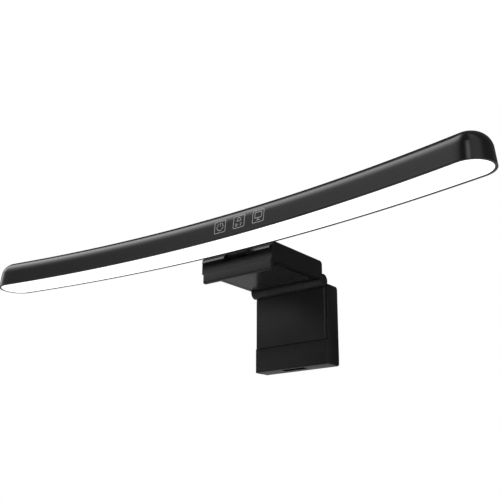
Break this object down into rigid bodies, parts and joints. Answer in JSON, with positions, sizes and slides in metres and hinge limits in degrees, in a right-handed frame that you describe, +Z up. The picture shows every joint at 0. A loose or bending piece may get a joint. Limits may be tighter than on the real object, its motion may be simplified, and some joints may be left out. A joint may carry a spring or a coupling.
{
  "type": "monitor light bar",
  "caption": "Curved black light bar with a glowing underside and touch keys, tilting on a clamp with a front lip and a hinged rear leg that grips a monitor's top edge.",
  "frame": {"origin": "centre of the rest pad's underside, where the clamp sits on the monitor's top edge", "axes": "+X along the bar to the right as the user faces it, +Y behind the monitor, +Z up"},
  "size_m": [0.4496, 0.1469, 0.0975],
  "materials": {
    "satin_black": "satin fine grain",
    "diffuser_white": "milky, lit from behind",
    "reflector_white": "bright",
    "soft_black": "soft matt",
    "aluminium": "rolled",
    "steel": "plain",
    "weight_iron": "zinc primed",
    "board": "solder mask",
    "chip": "moulded",
    "led": "phosphor",
    "film": "polyimide",
    "copper": "plain",
    "acetal": "plain",
    "lead": "sleeved"
  },
  "bodies": {
    "clamp_arm": {"tilt_pin_left": "steel", "tilt_pin_right": "steel", "tilt_nuts": "steel", "tilt_washers": "acetal", "arm_top_shell": "satin_black", "arm_bottom_plate": "satin_black", "rest_pad": "soft_black", "arm_screws": "steel", "arm_chassis": "steel", "front_hook": "satin_black", "hook_pad": "soft_black", "arm_lead": "lead", "hinge_pin_left": "steel", "hinge_pin_right": "steel", "hinge_sleeves": "acetal", "hinge_caps": "satin_black"},
    "light_bar": {"bar_housing": "satin_black", "diffuser": "diffuser_white", "reflector_tray": "reflector_white", "heat_strip": "aluminium", "led_board": "board", "led_packages": "led", "bar_screws": "steel", "driver_board": "board", "driver_parts": "chip", "touch_film": "film", "touch_pads": "copper", "neck": "satin_black", "neck_screws": "steel", "bar_lead": "lead"},
    "rear_leg": {"leg_rear_shell": "satin_black", "leg_front_cover": "satin_black", "leg_grip_pad": "soft_black", "leg_feet": "soft_black", "leg_screws": "steel", "counterweight": "weight_iron", "power_board": "board", "usb_c_socket": "steel", "leg_lead": "lead"}
  },
  "joints": [
    {"name": "bar_tilt", "type": "hinge", "parent": "clamp_arm", "child": "light_bar", "pos_m": [0, -0.025, 0.0087], "axis": [1, 0, 0], "range_deg": [-20, 25]},
    {"name": "leg_hinge", "type": "hinge", "parent": "clamp_arm", "child": "rear_leg", "pos_m": [0, 0.03555, -0.00017], "axis": [1, 0, 0], "range_deg": [-60, 90]}
  ]
}
